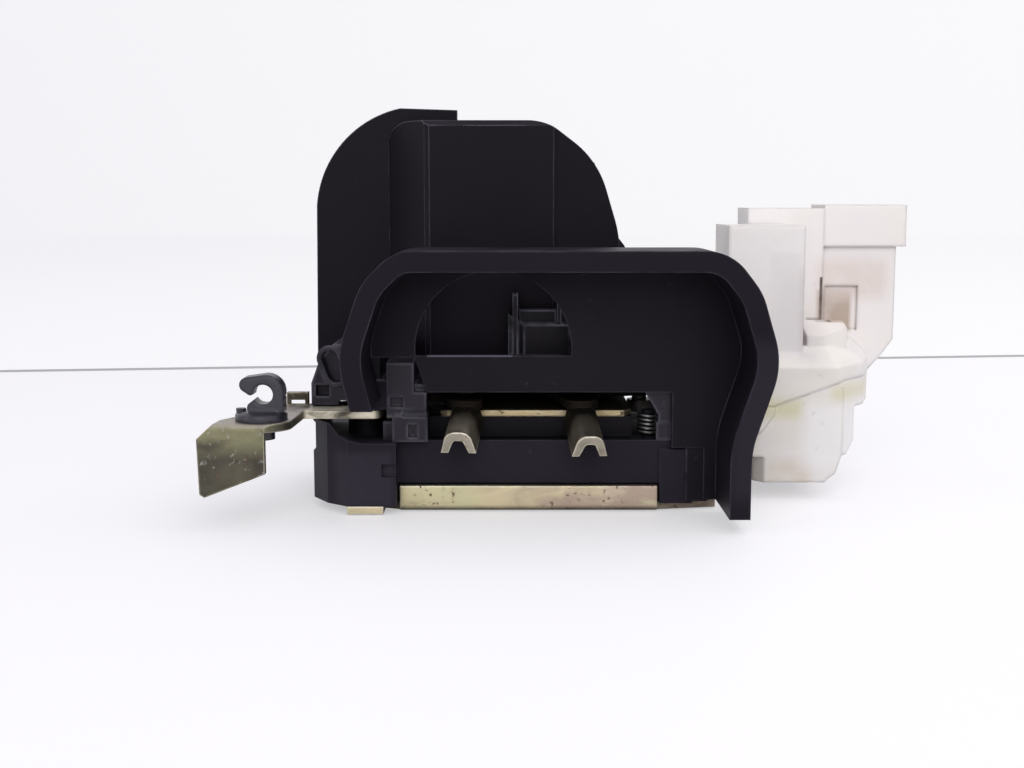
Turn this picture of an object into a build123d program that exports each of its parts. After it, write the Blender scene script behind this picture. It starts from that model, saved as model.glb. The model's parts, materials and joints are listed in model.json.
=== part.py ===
"""Side door latch with its power lock drive, as separate pieces, in millimetres.

X runs to the right, Y to the rear and Z up. The face plate's outer face, which bolts to the door,
lies on Z = 0, and Y = 0 is the front of the face plate's upturned flange.
Every lever, the claw, the pawl and the gears turn about axes along Z.
"""
from build123d import *
import os
from math import acos, atan2, cos, degrees, hypot, pi, radians, sin, sqrt, tan

os.makedirs("parts", exist_ok=True)

# ---- driving dimensions: stack of levels, from the door face upwards --------------------------
plate_t = 2.0            # face plate steel
cavity_h = 12.0          # height of the space for claw and pawl
roof_t = 4.1             # moulded roof over that space
deck_rise = 5.1          # raised deck under the back plate
back_plate_t = 1.6
lever_t = 2.0            # every pressed lever
lever_gap = 1.4          # back plate to the main levers
rod_lever_drop = 0.4     # rod lever's top to the main levers' underside
cover_bottom = 30.7      # underside of the lever cover's roof
cover_t = 1.8

ledge_z = plate_t + cavity_h + roof_t
deck_z = ledge_z + deck_rise
back_z = deck_z + back_plate_t
lever_z = back_z + lever_gap
lever_top = lever_z + lever_t
rod_lever_top = lever_z - rod_lever_drop
rod_lever_z = rod_lever_top - lever_t
cover_z = cover_bottom + cover_t

# ---- clearances --------------------------------------------------------------------------------
running = 0.05           # radial, pin in bore
side_play = 0.1          # axial, beside a turning piece
slot_play = 0.35         # each side of a pin in a lever's slot
free = 0.6               # round a piece that turns past a fixed one

# ---- pivots in plan ----------------------------------------------------------------------------
claw_at = (16.5, 26.0)
pawl_at = (-14.0, 40.0)
release_at = (-14.0, 18.0)
rod_at = (-38.0, 14.0)
sector_at = (52.2, 34.0)
lift_arm = 11.0          # pawl pivot to its lift pin
sector_arm = 17.8        # sector pivot to its drive pin
lift_at = (pawl_at[0], pawl_at[1] - lift_arm)

# ---- claw, pawl and striker --------------------------------------------------------------------
claw_r = 21.5
claw_hub_r = 10.5
claw_t = 5.5
claw_floor = 2.0         # face plate to the claw
jacket_t = 2.3
claw_pin_r = 4.0
claw_closing = 55.0      # degrees from open to closed
striker_r = 14.0         # claw pivot to the seated striker
notch_w = 12.0
mouth_w = 14.0
mouth_depth = 35.0
pawl_hub_r = 7.0
pawl_tip_r = 1.5
pawl_pin_r = 3.5
pawl_swing = 20.0
lift_pin_r = 2.0
pivot_r = 3.0            # studs of the levers
shoulder_r = 5.0
clip_t = 0.8             # retaining rings on the studs

# ---- levers ------------------------------------------------------------------------------------
finger_w = 8.8           # across the splayed edges
finger_crown = 5.8       # across the bend
finger_h = 5.7
finger_reach = 12.0      # in front of the flange
release_finger = (-13.4, 22.2)      # tip: centre X, crown Z
lock_finger = (19.4, 21.2)
contact_at = (-26.0, 16.0)          # where the rod lever pushes the release lever
push_r = 2.6             # the rod lever's rounded end there
rod_clip_at = (-60.8, -14.4)
clip_shank_r = 2.5       # the clip's shank through the lever
rod_end_r = 7.4          # round end of the rod lever about its clip
blade = ((-75.2, 22.3), (-74.8, 8.9), (-73.6, 8.1), (-59.0, 13.8), (-59.0, 25.8))  # X, Z of its blade
blade_y = rod_clip_at[1] - rod_end_r

# ---- lock drive --------------------------------------------------------------------------------
sector_teeth, sector_module = 40, 1.0
drive_teeth = 9          # both pinions
wheel_teeth, wheel_module = 32, 0.7
pressure = radians(25)
addendum, dedendum = 0.8, 1.1       # in modules
backlash = 0.2
axle_r = 2.0
sector_t = 3.2
sector_z = 21.4
wheel_z, wheel_t = 31.2, 4.0
motor_z, motor_h = 40.0, 26.0
motor_r, motor_flat = 7.9, 12.6
motor_cap_h = 2.6
motor_shaft_r = 1.0
sector_aim = 19.43       # degrees, sector pivot to reduction axle
motor_aim = 235.0        # degrees, reduction axle to motor

sector_pitch = sector_teeth * sector_module / 2
drive_r = drive_teeth * sector_module / 2
wheel_r = wheel_teeth * wheel_module / 2
motor_pinion_r = drive_teeth * wheel_module / 2


def polar(centre, r, angle):
    """The point at radius r and an angle in degrees from a centre."""
    return (centre[0] + r * cos(radians(angle)), centre[1] + r * sin(radians(angle)))


gear_at = polar(sector_at, sector_pitch + drive_r, sector_aim)
motor_at = polar(gear_at, wheel_r + motor_pinion_r, motor_aim)
lock_line = degrees(atan2(sector_at[1] - claw_at[1], sector_at[0] - claw_at[0]))
drive_pin_at = polar(sector_at, sector_arm, lock_line + 180)
lock_arm = hypot(drive_pin_at[0] - claw_at[0], drive_pin_at[1] - claw_at[1])

# ---- housing, hood and covers ------------------------------------------------------------------
house_left, house_right = -51.5, 46.0
house_front, block_front, house_back = 1.5, -4.0, 54.0
rim_t, rim_top = 2.2, 22.8          # raised rim of the left block
deck_left, deck_right, deck_front = -22.5, 31.0, 8.0
flange_left, flange_right, flange_h = -28.6, 37.0, 6.5
plate_right = 52.5
hood_front, hood_back = -24.0, 1.0
hood_wall, hood_back_t = 5.0, 2.0
hood_top, hood_tip = 67.0, 3.2
hood_left_end = 29.2
arch_at, arch_r, arch_sill = (-4.7, 41.6), 19.6, 40.0
bar_left, bar_right, bar_end, bar_top = -24.4, 40.4, 48.5, 39.5
dome_front, dome_back, dome_wall = 20.0, 34.0, 2.2
dome_x, dome_crease, dome_top = (-33.5, 29.4), (-22.4, 11.6), 99.4
frame_t = 2.5
case_t = 1.8
case_left, case_right, case_front, case_back = 46.0, 99.6, 16.0, 62.0
case_bottom, case_belly, case_flange, case_deck = 4.1, 14.5, 23.5, 40.1
deck_slope = 5.3         # the deck's sloped front border
seam = ((46.0, 24.4), (69.0, 24.4), (87.5, 31.1), (99.6, 31.1))    # X, Z of the joint line
tower_x, tower_y = (57.1, 77.3), (20.0, 44.0)
tower_top = motor_z + motor_h + motor_cap_h + 1.6 + case_t
socket_x, socket_y = (87.4, 108.2), (46.0, case_back)
block_x, block_y, block_top = (66.0, socket_x[0]), (tower_y[1], case_back), 76.4
collar_z, collar_top, collar_out = 65.7, 77.3, 2.3
socket_floor, socket_wall = 52.0, 2.0


# ---- helpers -----------------------------------------------------------------------------------
def block(x, y, z):
    """A block from three (low, high) pairs."""
    size = [high - low for low, high in (x, y, z)]
    return Pos(*[(low + high) / 2 for low, high in (x, y, z)]) * Box(*size)


def post(at, z, r):
    """An upright cylinder at a plan point, from z[0] to z[1]."""
    return Pos(at[0], at[1], (z[0] + z[1]) / 2) * Cylinder(r, z[1] - z[0])


def disc(at, r):
    """A circle at a plan point."""
    return Pos(at[0], at[1]) * Circle(r)


def slab(sketch, z):
    """A plan outline made solid from z[0] to z[1]."""
    return extrude(Pos(0, 0, z[0]) * sketch, z[1] - z[0], dir=(0, 0, 1))


def upright(sketch, y):
    """An outline drawn in X and Z made solid from y[0] to y[1]."""
    return extrude(Plane.XZ.offset(-y[1]) * sketch, y[1] - y[0], dir=(0, -1, 0))


def outline(*points):
    """A closed straight-sided outline."""
    return make_face(Polyline(*points, close=True))


def rounded(points, radii):
    """An open line with rounded corners, closed by a straight line from its end to its start."""
    line = FilletPolyline(*points, radius=list(radii))
    return make_face(line + Line(points[-1], points[0]))


def link(*circles):
    """The tight outline round circles, each given as (point, radius)."""
    return make_hull(Sketch([*[disc(at, r) for at, r in circles]]).edges())


def prism(at, z, r, sides):
    """An upright regular prism, r to its corners."""
    return slab(Pos(at[0], at[1]) * RegularPolygon(r, sides), z)


def slot_path(centre, r, start, swing, half):
    """The opening a pin of a given half width needs as it turns about a centre."""
    stops = [polar(centre, r, start + swing * k / 2) for k in range(3)]
    return link(*[(at, half) for at in stops])


def save(name, shape):
    """Write one node."""
    export_step(shape, f"parts/{name}.step")


# ---- gears -------------------------------------------------------------------------------------
def tooth(teeth, module, centre_angle):
    """One involute tooth's outline, root to tip to root, about the origin (angle in radians)."""
    pitch = teeth * module / 2
    base = pitch * cos(pressure)
    root, tip = pitch - dedendum * module, pitch + addendum * module
    half = (pi * module / 2 - backlash) / (2 * pitch) + tan(pressure) - pressure
    steps = 4 if module >= 1 else 3
    flank = []
    for k in range(steps):
        r = root + (tip - root) * k / (steps - 1)
        roll = acos(min(1.0, base / r))
        flank.append((r, half - (tan(roll) - roll)))
    right = [(r * cos(centre_angle - a), r * sin(centre_angle - a)) for r, a in flank]
    left = [(r * cos(centre_angle + a), r * sin(centre_angle + a)) for r, a in reversed(flank)]
    return right + left


def gear(at, teeth, module, first, count=None):
    """A toothed outline with one tooth centred at `first` degrees; `count` teeth make a sector."""
    points = []
    for k in range(count or teeth):
        points += tooth(teeth, module, radians(first) + 2 * pi * k / teeth)
    if count:
        points.append((0, 0))
    return Pos(at[0], at[1]) * outline(*points)


# ---- face plate and back plate -----------------------------------------------------------------
bolts = [(-36.0, 46.0), (40.0, 49.0), (43.5, 9.0)]
bolt_r = 2.5             # M6 thread's minor radius
bush_r, bush_flange_r, bush_h = 4.2, 6.0, 5.0


def mouth(z, extra=0.0):
    """The striker's way in from the rear, rounded at its inner end."""
    x = claw_at[0] - striker_r
    end = house_back - mouth_depth + mouth_w / 2
    way = disc((x, end), mouth_w / 2 + extra)
    way += Pos(x, (end + house_back + 10) / 2) * Rectangle(mouth_w + 2 * extra, house_back + 10 - end)
    return slab(way, z)


def base_plate():
    """Face plate: flat, with an upturned front flange, a corner tab and the striker's mouth."""
    left, corner = -45.0, 9.0
    plan = outline((left, corner), (flange_left, 2.0), (flange_right, 2.0), (plate_right, 5.0),
                   (plate_right, house_back + 2), (left, house_back + 2))
    plate = slab(plan, (0, plate_t))
    plate += block((-41.7, -32.5), (block_front, corner), (0, plate_t))
    plate += block((flange_left, flange_right), (0, plate_t), (0, flange_h))
    bend = plate.edges().filter_by(Axis.X).sort_by_distance((4, 0, 0))[0]
    plate = fillet(bend, 1.5)
    plate -= mouth((-1, flange_h))
    for at in bolts:
        plate -= prism(at, (-1, plate_t + 1), bush_r, 6)
    for at, r in ((claw_at, claw_pin_r), (pawl_at, pawl_pin_r)):
        plate -= post(at, (-1, plate_t + 1), r)
    return plate


def bolt_bushes():
    """Threaded bushes staked into the face plate."""
    made = []
    for at in bolts:
        bush = prism(at, (0, plate_t), bush_r, 6) + prism(at, (plate_t, plate_t + bush_h), bush_flange_r, 6)
        made.append(bush - post(at, (-1, 20), bolt_r))
    return made


def back_plate():
    """Back plate that ties the pins together over the housing."""
    plan = outline((deck_left + 4, deck_front), (deck_right - 2, deck_front), (deck_right, deck_front + 3),
                   (deck_right, house_back - 4), (deck_left, house_back - 4), (deck_left, 14))
    plate = slab(plan, (deck_z, back_z))
    for at, r in ((claw_at, claw_pin_r), (pawl_at, pawl_pin_r), (release_at, pivot_r)):
        plate -= post(at, (deck_z - 1, back_z + 1), r)
    lift = slot_path(pawl_at, lift_arm, -90, -pawl_swing, lift_pin_r + free)
    return plate - slab(lift, (deck_z - 1, back_z + 1))


# ---- latch housing -----------------------------------------------------------------------------
def pawl_room():
    """Plan of the pocket that the pawl swings in."""
    tip = polar(claw_at, claw_r + 1, 197)
    return link((pawl_at, pawl_hub_r + 1.5), (tip, 4.0), ((tip[0] - 10, tip[1] - 2), 4.0))


def left_rim(plan):
    """Raised rim round the left block, falling to the ledge across the block's front."""
    rim = plan - offset(plan, -rim_t, kind=Kind.INTERSECTION)
    rim &= Pos(house_left, 0) * Rectangle(32, 60)
    fall = outline((house_left - 1, ledge_z), (house_left - 1, rim_top), (-46.5, rim_top), (-43.5, 19.6),
                   (-38.0, ledge_z))
    return slab(rim, (ledge_z, rim_top)) & upright(fall, (block_front - 1, 40))


def latch_housing():
    """Moulded housing: left block, front ledge, raised deck, and room for claw and pawl."""
    block_right = flange_left - free
    nose = ((house_left, 8.0), (-47.0, 0.5), (-41.5, block_front))
    plan = outline(*nose, (block_right, block_front), (block_right, house_front), (house_right, house_front),
                   (house_right, house_back), (house_left, house_back))
    body = slab(plan, (plate_t, ledge_z))
    body += left_rim(outline((house_left, house_back), *nose, (block_right, block_front),
                             (block_right, house_back)))
    relief = outline((house_left - 1, 14.0), (house_left + 0.8, 14.6), (house_left + 0.8, rim_top - 1),
                     (house_left - 1, rim_top))
    body -= upright(relief, (-10, house_back + 1))
    body -= block((block_right - 3.6, block_right + 1), (block_front, block_front + 1.5), (9.5, 12.8))
    body += block((flange_right + free, house_right), (0.2, house_front), (plate_t, ledge_z - 2.2))
    body += block((deck_left, deck_right), (deck_front, house_back - 2), (ledge_z, deck_z))
    room = disc(claw_at, claw_r + 1) + pawl_room()
    body -= slab(room, (plate_t, plate_t + cavity_h))
    body -= mouth((plate_t, plate_t + cavity_h))
    body -= block((flange_left - free, flange_right + free), (-1, plate_t + free),
                  (plate_t, flange_h + free))
    for at, r in ((claw_at, claw_pin_r), (pawl_at, pawl_pin_r)):
        body -= post(at, (plate_t, deck_z + 1), r)
    lift = slot_path(pawl_at, lift_arm, -90, -pawl_swing, lift_pin_r + free)
    body -= slab(lift, (plate_t, deck_z + 1))
    body -= post(release_at, (deck_z - 4, deck_z + 1), pivot_r)
    body += post(rod_at, (ledge_z, rod_lever_z - side_play), shoulder_r)
    body -= post(rod_at, (ledge_z - 8, rod_lever_z + 1), pivot_r)
    for at in bolts:
        body -= prism(at, (plate_t, plate_t + bush_h + 8), bush_flange_r + side_play, 6)
    for x in (-46.0, -31.0):
        body -= block((x, x + 12), (26, 36), (plate_t, ledge_z - 2))
    return body


def mouth_bumper():
    """Rubber stop at the end of the striker's way."""
    x, end = claw_at[0] - striker_r, house_back - mouth_depth
    seat = mouth((plate_t, plate_t + claw_floor + claw_t - 4))
    stop = block((x - mouth_w / 2, x + mouth_w / 2), (end, end + 2.5), (plate_t, plate_t + 1.6))
    return seat & stop


# ---- claw and pawl -----------------------------------------------------------------------------
claw_z = plate_t + claw_floor


def pie(at, r, start, end):
    """A wide wedge of a circle between two angles."""
    far = r * 3
    return disc(at, r) & (outline(at, polar(at, far, start), polar(at, far, (start + end) / 2),
                                  polar(at, far, end)))


def claw_plan(r):
    """Claw outline: hub, hook and lower leg with the striker's notch between, drawn open."""
    plan = disc(claw_at, claw_hub_r) + pie(claw_at, r, 115, 240)
    seat = (claw_at[0] - striker_r, claw_at[1])
    notch = disc(seat, notch_w / 2) + Pos(seat[0] - 15, seat[1]) * Rectangle(30, notch_w)
    plan -= notch
    plan -= disc(claw_at, claw_pin_r + running)
    return Pos(*claw_at) * Rot(0, 0, -claw_closing) * Pos(-claw_at[0], -claw_at[1]) * plan


def claw():
    """Steel claw."""
    return slab(claw_plan(claw_r), (claw_z, claw_z + claw_t))


def claw_jacket():
    """Plastic jacket on the claw's upper side, which quietens the striker."""
    return slab(claw_plan(claw_r - 0.3), (claw_z + claw_t, claw_z + claw_t + jacket_t))


def claw_pin():
    """Riveted pin of the claw; its upper end carries the lock lever."""
    pin = post(claw_at, (0, back_z), claw_pin_r)
    pin += prism(claw_at, (back_z, lever_z - side_play), shoulder_r, 12)
    pin += post(claw_at, (lever_z - side_play, lever_top + side_play + clip_t), pivot_r)
    return pin


def pawl():
    """Pawl: hub, strut to the claw's rim and a lug for the lift pin."""
    tip = polar(claw_at, claw_r + 0.4 + pawl_tip_r, 197)
    plan = link((pawl_at, pawl_hub_r), (tip, pawl_tip_r)) + link((pawl_at, pawl_hub_r), (lift_at, 4.0))
    plan -= disc(claw_at, claw_r + 0.4)
    plan -= disc(pawl_at, pawl_pin_r + running)
    return slab(plan, (claw_z, claw_z + claw_t))


def pawl_lift_pin():
    """Pin that the release lever pulls the pawl by."""
    return post(lift_at, (claw_z + claw_t, lever_top + 1.0), lift_pin_r)


def pawl_pin():
    """Riveted pin of the pawl."""
    return post(pawl_at, (0, back_z + 0.8), pawl_pin_r)


def coil(at, z, r, wire, leg_angle, leg):
    """Close-wound spring body with one tangent leg."""
    ring = prism(at, z, r, 16) - prism(at, (z[0] - 1, z[1] + 1), r - wire, 16)
    start = polar(at, r - wire / 2, leg_angle)
    arm = Pos(*start) * Rot(0, 0, leg_angle + 90) * Pos(leg / 2, 0) * Rectangle(leg, wire)
    return ring + slab(arm, (z[0], z[0] + wire))


def claw_spring():
    """Torsion spring that throws the claw open."""
    z = claw_z + claw_t + jacket_t + 0.2
    return coil(claw_at, (z, plate_t + cavity_h), 7.5, 1.2, -100, 9.0)


def pawl_spring():
    """Torsion spring that holds the pawl on the claw's rim."""
    z = claw_z + claw_t + 0.2
    return coil(pawl_at, (z, plate_t + cavity_h), 5.6, 1.2, 20, 4.0)


# ---- levers ------------------------------------------------------------------------------------
def finger(root_x, tip):
    """Channel-section finger from a lever's edge down to its tip in front of the flange."""
    root_y = deck_front - 4.0
    start = Vector(tip[0], -finger_reach, tip[1])
    run = Vector(root_x, root_y, lever_top) - start
    half = finger_w / 2
    crown, wall = finger_crown / 2, 1.75
    outer = rounded([(-half, -finger_h), (-crown, 0), (crown, 0), (half, -finger_h)], (2.8, 2.8))
    inner = rounded([(wall - half, -finger_h - 0.2), (wall - crown, -2.3), (crown - wall, -2.3),
                     (half - wall, -finger_h - 0.2)], (1.0, 1.0))
    plane = Plane(origin=start, x_dir=Vector(-run.Y, run.X, 0), z_dir=run)
    channel = extrude(plane * (outer - inner), run.length + 3)
    keep = block((root_x - 3 * half, root_x + 3 * half), (-finger_reach - 5, root_y + 0.5), (0, lever_top))
    return channel & keep


def release_lever():
    """Release lever: hub, finger, tail slot on the lift pin and a tab for the rod lever."""
    z = (lever_z, lever_top)
    root_x = release_at[0] + 2.2
    tail_end = polar(release_at, lift_arm + 2.5, 90)
    plan = link((release_at, 6.0), ((root_x, deck_front - 3.5), finger_w / 2 - 0.2))
    plan += link((release_at, 6.0), (tail_end, lift_pin_r + slot_play + 2.2))
    plan += link((release_at, 5.0), ((contact_at[0] + 1.5, contact_at[1] - 1.5), 3.0))
    grip = link((lift_at, lift_pin_r + slot_play), (tail_end, lift_pin_r + slot_play))
    lever = slab(plan - grip - disc(release_at, pivot_r + running), z)
    lever += finger(root_x, release_finger)
    tab_x, tab_y = contact_at[0] + 0.4, contact_at[1] - push_r - slot_play
    lever += block((tab_x, tab_x + 3), (tab_y - lever_t, tab_y), (rod_lever_z, lever_top))
    return lever


def lock_lever():
    """Lock lever: hub, finger and a slotted arm that the sector's pin drives."""
    z = (lever_z, lever_top)
    root_x = claw_at[0] + 1.25
    end = polar(claw_at, lock_arm + 2.5, lock_line)
    inner = polar(claw_at, lock_arm - 1.5, lock_line)
    half = lift_pin_r + slot_play
    plan = link((claw_at, 7.0), ((root_x, deck_front - 3.5), finger_w / 2 - 0.2))
    plan += link((claw_at, 6.0), (end, half + 2.0))
    plan += link((claw_at, 6.0), (polar(claw_at, 11, 150), 2.5))
    slot = link((inner, half), (end, half))
    lever = slab(plan - slot - disc(claw_at, pivot_r + running), z)
    return lever + finger(root_x, lock_finger)


def rod_lever():
    """Rod lever: hub, wide arm to the rod clip, a slotted rear flange and a bent-down blade."""
    z = (rod_lever_z, rod_lever_top)
    front = blade_y
    plan = link((rod_clip_at, rod_end_r), ((-60.0, 3.4), 7.4))
    plan += link(((-58.0, 5.0), 5.0), ((-35.8, 2.4), 2.4), (rod_at, 6.5))
    plan += link((rod_at, 5.0), (contact_at, push_r))
    plan += outline((-71.4, front), (-70.9, -14.5), (-67.2, -7.4), (-60, -7.4), (-59.0, front))
    plan -= disc(rod_at, pivot_r + running)
    plan -= disc(rod_clip_at, clip_shank_r + running)
    flange_x, flange_y = (-58.5, -52.9), (10.0, 12.0)
    plan -= Pos(flange_x[0] - 10 + 5.6, flange_y[1] + 5) * Rectangle(20, 10)
    lever = slab(plan, z)
    lever += upright(outline(*blade, (-71.4, rod_lever_top)), (front, front + lever_t))
    lever += block(flange_x, flange_y, (rod_lever_z, rod_lever_top + 3.4))
    lever -= block((flange_x[0] + 0.9, flange_x[1] - 0.9), (flange_y[0] - 1, flange_y[1] + 1),
                   (rod_lever_top + 0.2, rod_lever_top + 1.4))
    bend = lever.edges().filter_by(Axis.X).sort_by_distance((-65, front, rod_lever_top))[0]
    return fillet(bend, 1.5)


def rod_clip():
    """Plastic rod clip: snap foot, disc and an open hook for the rod."""
    base = rod_lever_top + running
    at = (rod_clip_at[0] + 0.9, base + 6.5)
    clip = post(rod_clip_at, (base, base + 1.5), 6.3)
    clip += Pos(*rod_clip_at, base + 1.9) * Cone(6.3, 4.8, 0.8)
    clip += post((rod_clip_at[0] - 4.9, rod_clip_at[1]), (base, base + 2.9), 1.2)
    clip += post(rod_clip_at, (rod_lever_z - running, base), clip_shank_r)
    clip += post(rod_clip_at, (rod_lever_z - 2.6, rod_lever_z - running), 3.2)

    def near(x, z):
        return (at[0] + x, at[1] + z)

    hook = disc(near(0.6, 0.4), 4.35) - Pos(*near(-5, -5)) * Rectangle(10, 10)
    tip = near(-3.85, 2.35)
    hook += link((near(0.6, 3.75), 1.0), (tip, 1.8)) + link((tip, 1.8), (near(-3.05, 0.3), 0.5))
    hook += outline(near(-3.6, -4.3), near(-2.6, -2.0), near(1.4, -2.0), near(2.6, -1.0), near(4.9, -1.0),
                    near(4.9, -4.3))
    hook += link((near(-1.4, -2.1), 1.2), (near(-2.5, -3.2), 1.4))
    hook -= disc(at, 2.4)
    return clip + upright(hook, (rod_clip_at[1] - 2.5, rod_clip_at[1] + 2.5))


def stud(at, foot, level):
    """Shouldered stud that carries a lever whose underside is at `level`."""
    return post(at, (foot, level + lever_t + side_play + clip_t), pivot_r)


def release_stud():
    """Release lever's stud, with its shoulder on the back plate."""
    made = stud(release_at, deck_z - 4, lever_z)
    return made + prism(release_at, (back_z, lever_z - side_play), shoulder_r, 12)


def rod_lever_stud():
    """Rod lever's stud, pressed into the housing's boss."""
    return stud(rod_at, ledge_z - 8, rod_lever_z)


def lever_clips():
    """Retaining rings on the three studs."""
    made = []
    for at, level in ((claw_at, lever_z), (release_at, lever_z), (rod_at, rod_lever_z)):
        low = level + lever_t + side_play
        made.append(prism(at, (low, low + clip_t), shoulder_r, 8) - post(at, (low - 1, low + 2), pivot_r))
    return made


# ---- lock drive --------------------------------------------------------------------------------
def sector_lever():
    """Sector lever: toothed wedge, hub, and an arm with the pin that turns the lock lever."""
    span = 360 / sector_teeth
    teeth = gear(sector_at, sector_teeth, sector_module, sector_aim - 3 * span, 9)
    plan = teeth + disc(sector_at, 5.0) + link((sector_at, 4.6), (drive_pin_at, 3.4))
    window = pie(sector_at, sector_pitch - 4, sector_aim - 2 * span, sector_aim + 4 * span)
    plan -= window - disc(sector_at, 7.5)
    plan -= disc(sector_at, axle_r + running)
    lever = slab(plan, (sector_z, sector_z + sector_t))
    return lever + post(drive_pin_at, (sector_z, lever_top + 0.8), lift_pin_r)


def reduction_gear():
    """Reduction gear: wheel above, pinion below, on one hub."""
    pinion = gear(gear_at, drive_teeth, sector_module, sector_aim + 180 + 180 / drive_teeth)
    wheel = gear(gear_at, wheel_teeth, wheel_module, motor_aim)
    bore = post(gear_at, (0, 60), axle_r + running)
    made = slab(pinion, (sector_z - 0.6, wheel_z)) + slab(wheel, (wheel_z, wheel_z + wheel_t))
    return made - bore


def motor_pinion():
    """Pinion pressed on the motor's shaft."""
    plan = gear(motor_at, drive_teeth, wheel_module, motor_aim + 180 + 180 / drive_teeth)
    plan -= disc(motor_at, motor_shaft_r)
    return slab(plan, (wheel_z - 0.4, wheel_z + wheel_t + 0.6))


def motor_shaft():
    """Motor's shaft."""
    return post(motor_at, (wheel_z - 1.0, motor_z + motor_h + motor_cap_h), motor_shaft_r)


def motor_plan(grow=0.0):
    """Round can with two flats."""
    flat = motor_flat + 2 * grow
    return disc(motor_at, motor_r + grow) & (Pos(*motor_at) * Rectangle(3 * motor_r, flat))


def motor_can():
    """Motor's drawn steel can with its bearing boss."""
    can = slab(motor_plan(), (motor_z, motor_z + motor_h))
    can += post(motor_at, (motor_z - 1.4, motor_z), 3.0)
    return can - post(motor_at, (motor_z - 2, motor_z + motor_h + 1), motor_shaft_r + running)


def motor_end_cap():
    """Motor's plastic brush cap."""
    z = motor_z + motor_h
    cap = slab(motor_plan(-0.4), (z, z + motor_cap_h))
    return cap - post(motor_at, (z - 1, z + motor_cap_h + 1), motor_shaft_r + running)


def axle(at, z):
    """Steel axle of a gear."""
    return post(at, z, axle_r)


# ---- actuator case -----------------------------------------------------------------------------
def drawn_in(face, inset):
    """The same face with its border moved inwards by `inset`."""
    return offset(face, -inset, kind=Kind.INTERSECTION) if inset else face


def case_plan(inset=0.0):
    """Plan of the case, square at the rear with an oblique right front."""
    plan = outline((case_left, case_front), (86.4, case_front), (95.6, 28.0), (case_right, case_back - 22),
                   (case_right, case_back), (case_left, case_back))
    return drawn_in(plan, inset)


def case_form(inset=0.0):
    """The case without its socket: belly, middle, sloped deck, motor tower and rear block."""
    t = inset
    y = (case_front + t, case_back - t)
    low, into = case_belly, case_flange + 6     # the lower forms reach well into the deck
    deck = slab(case_plan(t), (case_flange + t, case_deck - t))
    border = [e for e in deck.edges().group_by(Axis.Z)[-1] if e.center().Y < 37 and e.center().X > 60]
    form = chamfer(border, deck_slope)
    middle = outline((case_left, low), (60.0, low), (60.0, 11.0), (89.6, 11.0), (92.4, low), (92.4, into),
                     (case_left, into))
    form += upright(drawn_in(middle, t), y) & slab(case_plan(t), (0, into))
    belly = outline((64.5, case_bottom), (83.0, case_bottom), (86.0, 6.6), (87.7, 12.0), (87.7, into),
                    (64.5, into))
    nose = outline((60, 19), (64.5, 19), (67.0, case_front), (95, case_front), (95, 70), (60, 70))
    form += upright(drawn_in(belly, t), y) & slab(drawn_in(nose, t), (0, into))
    for x, w, top in ((tower_x, tower_y, tower_top), (block_x, block_y, block_top)):
        form += block((x[0] + t, x[1] - t), (w[0] + t, w[1] - t), (case_deck - deck_slope, top - t))
    return form


def case_shell():
    """The whole case: form, hollow, socket, axle bosses and the arm's slot."""
    case = case_form()
    land = outline((case_left, 17.7), (66.0, 17.7), (69.6, 22.8), (69.6, 24.4), (case_left, 24.4))
    case += upright(land, (case_front - 1, case_front + 1))
    socket = outline((socket_x[0], 30), (100.5, 30), (104.5, 34.3), (socket_x[1], 39.5),
                     (socket_x[1], collar_top), (socket_x[0], collar_top))
    case += upright(socket, socket_y)
    case += block((socket_x[0], socket_x[1] + collar_out), (socket_y[0] - 1.5, socket_y[1]),
                  (collar_z, collar_top))
    lug = Plane.YZ.offset(78.8) * outline((22, 33), (22, 42.6), (24, 43.2), (33, 45.8), (36, 45.8), (36, 33))
    case += extrude(lug, 12.0) - slab(outline((91, 20), (81, 20), (91, 28)), (0, 60))
    case -= case_form(case_t)
    w = socket_wall
    case -= block((socket_x[0] + w, socket_x[1] - w), (socket_y[0] + w, socket_y[1] - w),
                  (socket_floor, collar_top + 1))
    window = outline((88.4, 44.5), (97.8, 42), (97.8, 54.6), (88.4, 54.6))
    case -= upright(window, (socket_y[0] - 1, socket_y[0] + 1.0))
    for at, floor in ((sector_at, case_belly), (gear_at, case_bottom)):
        case += post(at, (floor + case_t, sector_z - 1.0), 4.5)
        case -= post(at, (floor + case_t, sector_z), axle_r)
    case += post(gear_at, (wheel_z + wheel_t + side_play, case_deck - case_t), 3.6)
    case -= post(gear_at, (wheel_z, case_deck - case_t), axle_r)
    return case - block((case_left - 1, case_left + case_t + 0.5), (26.5, 41.5),
                        (sector_z - 0.5, sector_z + sector_t + 0.5))


def below_seam():
    """Everything under the joint line of the case's halves."""
    (x0, z0), (x1, z1) = seam[0], seam[-1]
    low = outline((x0 - 5, -5), (x1 + 10, -5), (x1 + 10, z1), *seam[2:0:-1], (x0 - 5, z0))
    return upright(low, (case_front - 5, case_back + 5))


def case_lower():
    """Lower half of the case, up to the joint line."""
    return case_shell() & below_seam()


def case_upper():
    """Upper half of the case, with the tower and the connector's socket."""
    return case_shell() - below_seam()


def connector_terminals():
    """Two rows of blade terminals standing in the socket."""
    rows, columns = 2, 4
    x0, y0 = socket_x[0] + socket_wall, socket_y[0] + socket_wall
    pitch_x = (socket_x[1] - socket_x[0] - 2 * socket_wall) / columns
    pitch_y = (socket_y[1] - socket_y[0] - 2 * socket_wall) / rows
    made = []
    for row in range(rows):
        for k in range(columns):
            x, y = x0 + pitch_x * (k + 0.5), y0 + pitch_y * (row + 0.5)
            made.append(block((x - 0.6, x + 0.6), (y - 0.3, y + 0.3), (socket_floor, socket_floor + 9)))
    return made


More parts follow.
